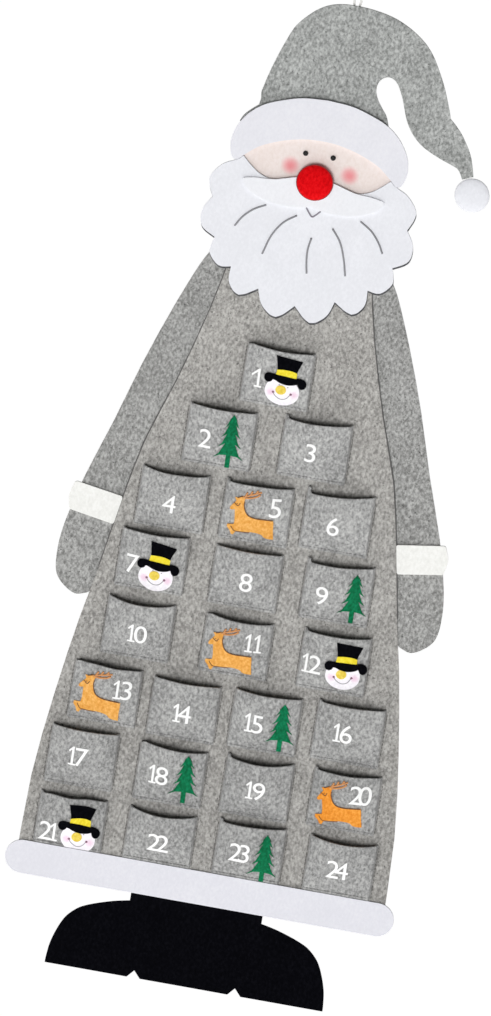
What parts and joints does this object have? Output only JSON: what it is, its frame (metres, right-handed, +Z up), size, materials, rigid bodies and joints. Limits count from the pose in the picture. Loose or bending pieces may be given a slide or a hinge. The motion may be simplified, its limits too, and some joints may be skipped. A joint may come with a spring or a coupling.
{
  "type": "advent calendar",
  "caption": "Hanging felt Father Christmas with rows of open pockets for small gifts, hung from a cord loop at the crown of the hat.",
  "frame": {"origin": "the place on the nail from which the cord loop hangs, in the plane of the felt's wall side", "axes": "+Z up along the figure's height, +Y from the front with the pockets to the wall, and +X to the right of someone who looks at the front"},
  "size_m": [0.3852, 0.0265, 1.0343],
  "materials": {
    "grey_felt": "grey melange needle felt, matte and slightly hairy",
    "white_felt": "white craft felt, matte with a soft cut edge",
    "black_felt": "black craft felt, matte",
    "skin_felt": "pale skin-coloured felt, matte",
    "red_felt": "red felt drawn over a padded disc",
    "black_bead": "small glossy black bead",
    "white_cord": "twisted white cotton cord",
    "snowman_felt": "white, black and yellow die-cut felt, glued in layers",
    "green_felt": "green die-cut felt",
    "orange_felt": "orange-brown die-cut felt"
  },
  "bodies": {
    "figure": {"gown_panel": "grey_felt", "arm_left": "grey_felt", "arm_right": "grey_felt", "cuff_left": "white_felt", "cuff_right": "white_felt", "hem_band": "white_felt", "boots": "black_felt", "hat": "grey_felt", "hat_band": "white_felt", "pompom": "white_felt", "face": "skin_felt", "beard": "white_felt", "moustache": "white_felt", "nose": "red_felt", "eye_left": "black_bead", "eye_right": "black_bead", "pocket_01": "grey_felt", "pocket_02": "grey_felt", "pocket_03": "grey_felt", "pocket_04": "grey_felt", "pocket_05": "grey_felt", "pocket_06": "grey_felt", "pocket_07": "grey_felt", "pocket_08": "grey_felt", "pocket_09": "grey_felt", "pocket_10": "grey_felt", "pocket_11": "grey_felt", "pocket_12": "grey_felt", "pocket_13": "grey_felt", "pocket_14": "grey_felt", "pocket_15": "grey_felt", "pocket_16": "grey_felt", "pocket_17": "grey_felt", "pocket_18": "grey_felt", "pocket_19": "grey_felt", "pocket_20": "grey_felt", "pocket_21": "grey_felt", "pocket_22": "grey_felt", "pocket_23": "grey_felt", "pocket_24": "grey_felt", "snowman_1": "snowman_felt", "snowman_2": "snowman_felt", "snowman_3": "snowman_felt", "snowman_4": "snowman_felt", "tree_1": "green_felt", "tree_2": "green_felt", "tree_3": "green_felt", "tree_4": "green_felt", "tree_5": "green_felt", "reindeer_1": "orange_felt", "reindeer_2": "orange_felt", "reindeer_3": "orange_felt", "reindeer_4": "orange_felt"},
    "loop": {"hanging_loop": "white_cord"}
  },
  "joints": [
    {"name": "loop_flop", "type": "hinge", "parent": "figure", "child": "loop", "pos_m": [0, 0.00155, -0.03975], "axis": [-1, 0, 0], "range_deg": [0, 180]}
  ]
}
